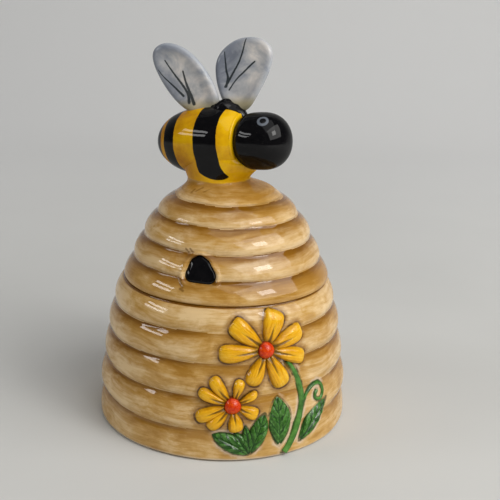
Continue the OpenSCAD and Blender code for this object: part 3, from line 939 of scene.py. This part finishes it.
underside = [(r, 0.0) for r in np.linspace(4, 45.6, 12)] + arc((45.9, 0.9), 0.9, -90, -20)
pot_wall_z = np.linspace(0.75, 53.45, 190)
rim = arc((37.6, 53.4), 0.6, 10, 90) + [(36.2, POT_H), (35.2, POT_H)]
rim += arc((34.6, 53.2), 0.8, 90, 180) + [(33.9, 51.5)]


def inner_r(z):
    """Radius of the pot's inner wall."""
    return float(pot_groove_r(z)) - WALL


corner_z = FLOOR_Z + FLOOR_CORNER_R
inside = [(inner_r(z), z) for z in np.linspace(49, corner_z, 24)]
corner_middle = (inner_r(corner_z) - FLOOR_CORNER_R, corner_z)
corner = corner_middle + polar(FLOOR_CORNER_R, -np.linspace(0, math.pi / 2, 12)[1:])
inside += [tuple(point) for point in corner]
inside += [(r, FLOOR_Z) for r in np.linspace(30, 3, 10)]
# No brown wash lies under the seam or the bee's neck, so the top groove of the paint is further up
pot_paint = np.append(POT_GROOVES[:-1], 57.5)
pot = make_hive_part(
    "pot", pot_r, pot_wall_z, pot_paint, underside, rim + inside, flower_ground, near_flowers, (0, 0, 0)
)
bind(pot, STRAW, "pot", "pot_body")


# The lid

def dome_r(z):
    """Radius of the lid's hollow."""
    return min(BORE_R, float(lid_groove_r(z + 2.2)) - WALL)


# From the top of the hollow down its wall, round the collar's end and out under the rim
collar_edge = 0.7
hollow = [(r, HOLLOW_TOP_Z) for r in np.linspace(1.5, dome_r(HOLLOW_TOP_Z), 6)]
for share in np.linspace(0.96, 0.0, 30):
    dome_z = POT_H + (HOLLOW_TOP_Z - POT_H) * math.sin(share * math.pi / 2)
    hollow.append((dome_r(dome_z), dome_z))
hollow.append((BORE_R, 51.0))
hollow += arc((BORE_R + collar_edge, COLLAR_END_Z + collar_edge), collar_edge, 180, 270)
hollow += arc((COLLAR_R - collar_edge, COLLAR_END_Z + collar_edge), collar_edge, 270, 360)
hollow += [(COLLAR_R, 52.0), (COLLAR_R + 0.05, 53.85), (34.0, 54.02), (36.4, 54.02)]
hollow += arc((37.75, 54.5), 0.5, -90, -15)
lid_wall_z = np.linspace(54.5, 87.6, 170)
crown = arc((14.9, 87.4), 0.6, 25, 90) + [(r, CROWN_Z) for r in np.linspace(14.4, 2, 8)]
lid_paint = np.append(LID_GROOVES[:-1], 91.0)
lid = make_hive_part(
    "lid", lid_r, lid_wall_z, lid_paint, hollow, crown, lambda a, z: 0 * (a + z), near_ticks, LID_SHIFT
)
bind(lid, STRAW, "lid", "lid_shell")


def door_place(x, y, h):
    """A place() for the doorway on the lid."""
    z = DOOR_AT[1] + np.asarray(y, float)
    angle = DOOR_AT[0] + np.degrees(np.asarray(x) / DOOR_R)
    return cylinder_point(lid_groove_r(z) + h, angle, z) + np.array(LID_SHIFT)


def door_outline():
    """The rounded triangle, by walking out from its middle in every direction."""
    turn = turns(90)
    reach = np.linspace(0.5, 8, 400)
    x, y = np.outer(np.cos(turn), reach), np.outer(np.sin(turn), reach)
    return polar(np.array([np.interp(0, row, reach) for row in door_distance(x, y)]), turn)


doorway = cushion("doorway", door_outline(), (0, 0), dome(-0.55, 1.35, 3.6, 0.55), door_place, skirt=-1.6)
bind(doorway, BLACK, "lid", "doorway")


# The flowers

HEART_R = 3.2


def make_flower(name, at, sizes):
    """Petals round a plump heart that isn't quite round."""
    petals = join([make_petal(f"{name}_{n}", at, *size) for n, size in enumerate(sizes)], f"{name}_petals")
    bind(petals, PETAL, "pot", f"{name}_petals")
    turn = turns(64)
    outline = polar(HEART_R * (1 + 0.03 * np.cos(3 * turn + 1)), turn)
    heart = cushion(f"{name}_centre", outline, (0, 0), dome(-0.5, 3.1, 2.1, 0.55), on_pot(*at), rings=20)
    bind(heart, CENTRE, "pot", f"{name}_centre")


make_flower("large_flower", LARGE_AT, LARGE_PETALS)
make_flower("small_flower", SMALL_AT, SMALL_PETALS)

low_leaves = [make_leaf(f"leaf_{n}", CLUSTER_AT, *size) for n, size in enumerate(CLUSTER)]
bind(join(low_leaves, "leaf_cluster"), LEAF, "pot", "leaf_cluster")
for name, at, size in SINGLE_LEAVES:
    bind(make_leaf(name, at, *size), LEAF, "pot", name)

stem = strand("flower_stem", STEM_PATH, STEM_W, 1.75, (0.6, 0.9))
bind(stem, STEM, "pot", "flower_stem")
tendril = strand("curled_tendril", TENDRIL_PATH, TENDRIL_W, 1.45, (0.9, 1.15))
bind(tendril, STEM, "pot", "curled_tendril")


# The bee

# How far the bee is turned and tilted. Its own frame runs towards its head, to its side and out of its
# back.
BEE_TURN = math.radians(-15.9)
BEE_TILT = math.radians(6.5)
HEAD_WAY = np.array([
    math.cos(BEE_TILT) * math.cos(BEE_TURN), math.cos(BEE_TILT) * math.sin(BEE_TURN), math.sin(BEE_TILT)
])
BEE_SIDE = np.array([-math.sin(BEE_TURN), math.cos(BEE_TURN), 0])
BEE_BACK = np.cross(HEAD_WAY, BEE_SIDE)
BEE_MIDDLE = np.array([0, 0, 104.5]) - 3.8 * HEAD_WAY
# The body's half length, its greatest radius and where it ends behind the head, as an angle from the tail
BODY_HALF = 25.5
BODY_R = 12.9
BODY_END = math.radians(180 - 66.4)
# Where the head's widest ring is, its radius and reach ahead, and its reach back into the body
HEAD_AT = 18.4
HEAD_R = 10.3
HEAD_BACK = 9.6
EYE_R = 2.4


def in_bee(along, side, up):
    """The points at places in the bee's own frame."""
    along, side, up = (part[..., None] for part in same_shape(along, side, up))
    return BEE_MIDDLE + along * HEAD_WAY + side * BEE_SIDE + up * BEE_BACK


def turned_on_bee(name, stations, radii, start, end):
    """A piece of the bee turned about its long axis."""
    turn = turns(160)[None, :]
    r = np.array(radii)[:, None]
    along, side, up = same_shape(np.array(stations)[:, None], r * np.cos(turn), r * np.sin(turn))
    loc = np.stack([along, side, up], axis=-1)
    return tube(name, in_bee(along, side, up), in_bee(start, 0, 0), in_bee(end, 0, 0), {"loc": loc})


def body_radius(s):
    """A long egg that narrows in a soft shoulder towards the head."""
    shoulder = 2.1 * (np.maximum(s - 1.5, 0) / 9) ** 2.6
    return BODY_R * (1 - np.abs(s / BODY_HALF) ** 2.35) ** (1 / 2.1) - shoulder


turn = np.linspace(0.03, 1, 120) * BODY_END
stations = -BODY_HALF * np.cos(turn)
radii = list(body_radius(stations))
stations = list(stations)
# The yellow collar rolls in to the crease round the head
roll_r = 1.0
roll_at = stations[-1]
roll_from_r = radii[-1]
for a in np.linspace(0.12, 1, 10) * math.pi / 2:
    stations.append(roll_at + roll_r * 0.75 * math.sin(a))
    radii.append(roll_from_r - roll_r * (1 - math.cos(a)))
stations += [roll_at + 0.7, roll_at + 0.6]
radii += [8.0, 4.0]
body = turned_on_bee("bee_body", stations, radii, -BODY_HALF, roll_at + 0.6)
bind(body, BEE, "lid", "bee_body")


def head_radius(s):
    """Blunt in front and nearly straight-sided behind."""
    s = np.asarray(s, float) - HEAD_AT
    ahead = (1 - np.clip(s / HEAD_R, 0, 1) ** 2.35) ** (1 / 2.35)
    behind = (1 - np.clip(-s / HEAD_BACK, 0, 1) ** 3.2) ** (1 / 3.2)
    return HEAD_R * ahead * behind


turn = np.linspace(0.05, 0.985, 100) * math.pi
head_s = HEAD_AT - np.where(turn < math.pi / 2, HEAD_BACK, HEAD_R) * np.cos(turn)
head = turned_on_bee("bee_head", head_s, head_radius(head_s), HEAD_AT - HEAD_BACK, HEAD_AT + HEAD_R)
bind(head, BLACK, "lid", "bee_head")


def make_eye(name, side):
    """A low button on the head. side is 1 or -1."""
    middle = np.array([0.374, side * 0.554, 0.743])
    right = np.cross([0, 0, 1], middle)
    right /= np.linalg.norm(right)
    up = np.cross(middle, right)

    def place(x, y, h):
        x, y, h = same_shape(x, y, h)
        way = middle + x[..., None] / HEAD_R * right + y[..., None] / HEAD_R * up
        way /= np.linalg.norm(way, axis=-1)[..., None]
        s = HEAD_AT + way[..., 0] * (HEAD_R + h)
        out = (head_radius(s) + h) / np.hypot(way[..., 1], way[..., 2])
        return in_bee(s, way[..., 1] * out, way[..., 2] * out)

    outline = polar(EYE_R, turns(64))
    return cushion(name, outline, (0, 0), dome(-0.03, 0.16, 2.5, 0.7), place, rings=16, skirt=-0.5)


eyes = join([make_eye("eye_a", -1), make_eye("eye_b", 1)], "bee_eyes")
bind(eyes, EYE, "lid", "bee_eyes")

# The neck flares into the lid's crown and opens upwards into the belly. Rows give the height, how far the
# middle has moved towards the tail, and the radii along and across the bee.
neck_rows = open_curve([
    (85.8, 0.0, 18.0, 18.0), (86.6, 0.0, 17.6, 17.6), (87.3, 0.0, 16.9, 16.85), (88.0, 0.3, 16.0, 15.7),
    (88.5, 0.8, 15.1, 14.6), (88.9, 1.5, 14.2, 13.6), (89.4, 2.4, 13.2, 12.6), (90.1, 3.2, 12.2, 11.95),
    (90.8, 3.6, 11.8, 11.7), (91.6, 3.7, 12.0, 11.65), (92.5, 3.6, 12.6, 11.7), (93.6, 3.4, 13.5, 11.78),
    (95.0, 3.0, 14.4, 11.85), (97.5, 2.5, 14.5, 12.05), (99.3, 2.4, 13.6, 12.25), (101.0, 2.4, 12.2, 12.2),
    (103.0, 2.4, 10.5, 11.0),
], 90)
height, back, long_r, cross_r = neck_rows.T[..., None]
turn = turns(200)[None, :]
flat_way = np.array([math.cos(BEE_TURN), math.sin(BEE_TURN), 0])
neck_grid = (long_r * np.cos(turn) - back)[..., None] * flat_way
neck_grid += (cross_r * np.sin(turn))[..., None] * BEE_SIDE
neck_grid[..., 2] = height
neck_grid += np.array(LID_SHIFT) * (1 - smooth_step(height, 88, 92))[..., None]
neck_loc = np.stack([(neck_grid - BEE_MIDDLE) @ way for way in (HEAD_WAY, BEE_SIDE, BEE_BACK)], axis=-1)
# Brush ticks on the neck's foot: 1 on a tick, falling to 0 beside it
tick_away = []
for tick in NECK_TICKS:
    tick_ends = [cylinder_point(np.interp(z, neck_rows[:, 0], neck_rows[:, 2]), a, z) for a, z in tick]
    tick_away.append(distance_to(neck_grid.reshape(-1, 3), tick_ends))
on_tick = 1 - smooth_step(np.min(tick_away, axis=0), 0.15, 0.75)
neck_tick = np.repeat(on_tick, 3).reshape(neck_grid.shape)
neck_values = {"loc": neck_loc, "tick": neck_tick}
neck = tube("bee_neck", neck_grid, neck_grid[0].mean(0), neck_grid[-1].mean(0), neck_values)
bind(neck, BEE, "lid", "bee_neck")


# The wings

# Outlines and veins in each wing's own plane: ahead of its foot, then above it
REAR_WING = (
    (-16.7, 20.8), (-16.3, 22.6), (-15.1, 23.9), (-13.2, 24.9), (-11.2, 25.3), (-8.8, 25.0), (-6.2, 24.1),
    (-3.7, 22.8), (-1.3, 20.8), (0.6, 18.7), (2.4, 16.2), (4.2, 13.2), (5.6, 10.1), (6.6, 7.0), (7.2, 4.0),
    (7.2, 1.1), (4.7, -1.2), (1.2, -1.8), (-2.7, -1.2), (-6.1, 0.8), (-8.2, 2.6), (-10.2, 4.9), (-12.1, 7.8),
    (-13.9, 11.0), (-15.4, 14.5), (-16.4, 17.7),
)
FRONT_WING = (
    (-7.7, 13.3), (-7.7, 15.6), (-7.1, 17.9), (-5.9, 20.1), (-3.9, 22.1), (-1.5, 23.7), (1.2, 24.9),
    (3.9, 25.3), (6.9, 25.3), (9.8, 24.6), (12.2, 23.3), (13.6, 21.5), (14.2, 19.4), (14.0, 17.1),
    (13.3, 14.7), (12.3, 12.2), (10.9, 9.5), (9.3, 6.8), (7.8, 4.4), (6.4, 2.2), (4.6, 0.0), (1.0, -1.6),
    (-2.8, -0.4), (-5.2, 3.0), (-6.6, 6.8), (-7.4, 10.0),
)
# Each vein is given by its points and its half width where it starts and ends
REAR_VEINS = (
    (
        ((-11.6, 19.1), (-10.3, 16.8), (-8.7, 14.2), (-6.7, 11.2), (-5.1, 8.6), (-4.1, 6.3), (-4.0, 3.4)),
        0.22, 0.55,
    ),
    (((-5.1, 14.8), (-4.7, 12.2), (-4.2, 9.8), (-3.5, 7.4), (-2.8, 5.2), (-2.2, 2.9)), 0.32, 0.62),
    (((-14.4, 16.0), (-12.8, 13.5), (-10.7, 11.2), (-8.3, 8.6), (-5.9, 5.9)), 0.12, 0.4),
)
FRONT_VEINS = (
    (((-3.5, 20.5), (-3.4, 17.7), (-3.2, 14.1), (-2.7, 11.2), (-3.4, 8.1)), 0.18, 0.45),
    (
        ((4.7, 24.6), (3.9, 22.2), (2.9, 19.5), (1.7, 16.7), (-0.2, 13.6), (-1.9, 10.9), (-3.7, 8.1)),
        0.22, 0.42,
    ),
    (((7.6, 16.5), (5.8, 15.1), (3.5, 13.1), (1.1, 11.1), (-0.8, 9.0), (-2.3, 6.9)), 0.32, 0.24),
)
# How far the wings' planes are turned about the bee's upward axis, and half their thickness
WING_TURN = math.radians(12)
WING_HALF_T = 1.75
# A distance at which no vein is painted, for the wings' backs
NO_VEIN = 9.0


def soften(outline, reach=12, softness=4.0):
    """Evens out an outline's small corners."""
    kernel = np.exp(-0.5 * (np.arange(-reach, reach + 1) / softness) ** 2)
    return sum(k * np.roll(outline, n - reach, axis=0) for n, k in enumerate(kernel / kernel.sum()))


def make_wing(name, outline, veins, foot, lean):
    """A thick rounded plate, hollowed a little on its front. foot is its place in the bee's own frame."""
    outline = soften(closed_curve(outline, 200))
    centre = outline.mean(0)
    lean = math.radians(lean)
    ahead = np.array([math.cos(WING_TURN), math.sin(WING_TURN), 0])
    upward = np.array([
        -math.sin(WING_TURN) * math.sin(lean), math.cos(WING_TURN) * math.sin(lean), math.cos(lean)
    ])
    facing = np.cross(ahead, upward)
    facing *= -np.sign(facing[1])

    def place(x, y, h):
        x, y, h = (part[..., None] for part in same_shape(x, y, h))
        return in_bee(*np.moveaxis(np.array(foot) + x * ahead + y * upward + h * facing, -1, 0))

    share = 1 - (1 - np.linspace(0, 1, 61)[1:]) ** 1.9
    flat = centre + share[:, None, None] * (outline - centre)[None]
    points = flat.reshape(-1, 2)
    edge = distance_to(points, outline, closed=True).reshape(flat.shape[:2])
    round_edge = WING_HALF_T * np.sqrt(np.clip(1 - (1 - np.minimum(edge / 1.8, 1)) ** 2, 0, 1))
    away = [
        distance_to(points, open_curve(line, 25), widths=np.linspace(start_w, end_w, 24))
        for line, start_w, end_w in veins
    ]
    away = np.min(away, axis=0).reshape(edge.shape)
    # The face is scooped within its rim, and each vein is a shallow furrow
    scoop = 0.6 * smooth_step(edge, 1.3, 5.5) + 0.08 * np.exp(-(away**2)) * smooth_step(edge, 0.5, 2)
    front = place(flat[..., 0], flat[..., 1], round_edge - scoop)
    back = place(flat[..., 0], flat[..., 1], -round_edge + 0.1 * smooth_step(edge, 1.3, 5.5))[:-1][::-1]
    loc = np.concatenate([flat[..., :1] - centre[0], flat[..., 1:], edge[..., None]], axis=-1)
    vein = np.repeat(away[..., None], 3, axis=-1)
    values = {
        "loc": np.concatenate([loc, loc[:-1][::-1]]),
        "vein": np.concatenate([vein, np.full_like(vein[:-1], NO_VEIN)]),
    }
    start, end = place(*centre, np.array([WING_HALF_T - 0.6, -WING_HALF_T + 0.1]))
    wing = tube(name, np.concatenate([front, back]), start, end, values)
    bind(wing, WING, "lid", name)


make_wing("rear_wing", REAR_WING, REAR_VEINS, (-5.5, -1.5, 11.3), -5)
make_wing("front_wing", FRONT_WING, FRONT_VEINS, (7.4, 2.0, 11.3), 8)


# The mound's middle along the bee's body, and half its length and width
MOUND_AT = 5.2
MOUND_HALF_L = 7.5
MOUND_HALF_W = 4.9


def make_mound():
    """Black clay pressed round the wings' roots on the bee's back."""
    turn = turns(120)
    narrowing = 1 - 0.3 * smooth_step(np.cos(turn), -0.4, 0.6)
    outline = np.stack([MOUND_HALF_L * np.cos(turn), MOUND_HALF_W * np.sin(turn) * narrowing], axis=-1)

    def place(x, y, h):
        x, y, h = same_shape(x, y, h)
        along = MOUND_AT + x
        ring = body_radius(along)
        tilt = (y + 0.16 * np.maximum(x + 2, 0)) / ring
        return in_bee(along, (ring + h) * np.sin(tilt), (ring + h) * np.cos(tilt))

    def rise(x, y, edge, share):
        lumps = 0.35 * np.cos(0.9 * x + 0.5) + 0.25 * np.cos(1.7 * x - 2 * y)
        return -0.5 + (2.7 + lumps) * (1 - share**2.4) ** 0.7

    mound = cushion("wing_mound", outline, (0, 0), rise, place, rings=24, skirt=-1.0)
    bind(mound, BLACK, "lid", "wing_mound")


make_mound()


# Floor and backdrop

def make_stage():
    """A wide pale sheet that curves up behind the object."""
    s = Shader("stage_paper")
    colour = s.ramp(s.noise(0.01, 2), (0.3, (0.595, 0.595, 0.575)), (0.7, (0.62, 0.62, 0.60)))
    away = s.node("ShaderNodeVectorMath", {0: s.place()}, operation="LENGTH").outputs["Value"]
    colour = s.mix(s.span(away, 90, 640), colour, (0.785, 0.785, 0.775))
    s.finish(colour, roughness=0.8, coat=0.0)
    far, near, top = 4500, 500, 1800
    bend = near + polar(near, np.linspace(-math.pi / 2, 0, 24)[1:])
    line = [(-far, 0), (-near, 0), (near, 0), *map(tuple, bend), (2 * near, top)]
    width = (-far, -near, near, far)
    verts = [(x * MM, y * MM, z * MM) for y, z in line for x in width]
    corners = [i * 4 + j for i in range(len(line) - 1) for j in range(3)]
    faces = [(n, n + 1, n + 5, n + 4) for n in corners]
    mesh = bpy.data.meshes.new("stage")
    mesh.from_pydata(verts, [], faces)
    mesh.polygons.foreach_set("use_smooth", [True] * len(mesh.polygons))
    mesh.materials.append(s.material)
    sheet = bpy.data.objects.new("stage", mesh)
    sheet.rotation_euler = (0, 0, math.radians(CAMERA_AROUND))
    bpy.context.scene.collection.objects.link(sheet)


make_stage()


# Camera

# Angles in radians, before the camera goes round to its side
PITCH, YAW, ROLL = 0.296908, 0.026825, 0.02927
CAMERA_AT = Vector((0, -343.56, 168.24)) * MM
cos, sin = math.cos, math.sin
forward = Vector((cos(PITCH) * sin(YAW), cos(PITCH) * cos(YAW), -sin(PITCH)))
level_right = Vector((cos(YAW), -sin(YAW), 0))
level_up = Vector((sin(PITCH) * sin(YAW), sin(PITCH) * cos(YAW), cos(PITCH)))
right = cos(ROLL) * level_right + sin(ROLL) * level_up
up = cos(ROLL) * level_up - sin(ROLL) * level_right
around = Matrix.Rotation(math.radians(CAMERA_AROUND), 4, "Z")
looking = Matrix((right, up, -forward)).transposed().to_4x4()
camera_data = bpy.data.cameras.new("camera")
camera_data.sensor_width = 36
camera_data.lens = 68.47
camera = bpy.data.objects.new("camera", camera_data)
camera.matrix_world = around @ Matrix.Translation(CAMERA_AT) @ looking
bpy.context.scene.collection.objects.link(camera)
bpy.context.scene.camera = camera


# Light

AIM = Vector((0, 0, 0.07))
DAYLIGHT = (1, 0.985, 0.96)


def softbox(name, azimuth, elevation, distance, size, power, colour=(1, 1, 1)):
    """A soft rectangular lamp, placed by the direction in which the object sees it."""
    a, e = math.radians(azimuth), math.radians(elevation)
    way = Vector((math.sin(a) * math.cos(e), -math.cos(a) * math.cos(e), math.sin(e)))
    lamp = bpy.data.lights.new(name, "AREA")
    lamp.shape = "RECTANGLE"
    lamp.size, lamp.size_y = size
    lamp.energy = power
    lamp.color = colour
    holder = bpy.data.objects.new(name, lamp)
    holder.location = AIM + way * distance
    holder.rotation_euler = (-way).to_track_quat("-Z", "Y").to_euler()
    bpy.context.scene.collection.objects.link(holder)


for elevation in (20, 29):
    softbox(f"left_pane_{elevation}", -63, elevation, 1.0, (0.45, 0.085), 0.9)
softbox("right_window", 70, 37, 1.1, (1.3, 0.85), 9.8, DAYLIGHT)
softbox("right_pane", 66, 36, 1.1, (0.34, 0.28), 2.6, DAYLIGHT)
softbox("overhead", 50, 70, 1.3, (1.1, 1.1), 3.9)

world = bpy.data.worlds.new("world")
world.use_nodes = True
background = world.node_tree.nodes["Background"]
background.inputs["Color"].default_value = (0.93, 0.95, 1.0, 1)
background.inputs["Strength"].default_value = 0.11
bpy.context.scene.world = world
bpy.context.scene.view_settings.view_transform = "Standard"
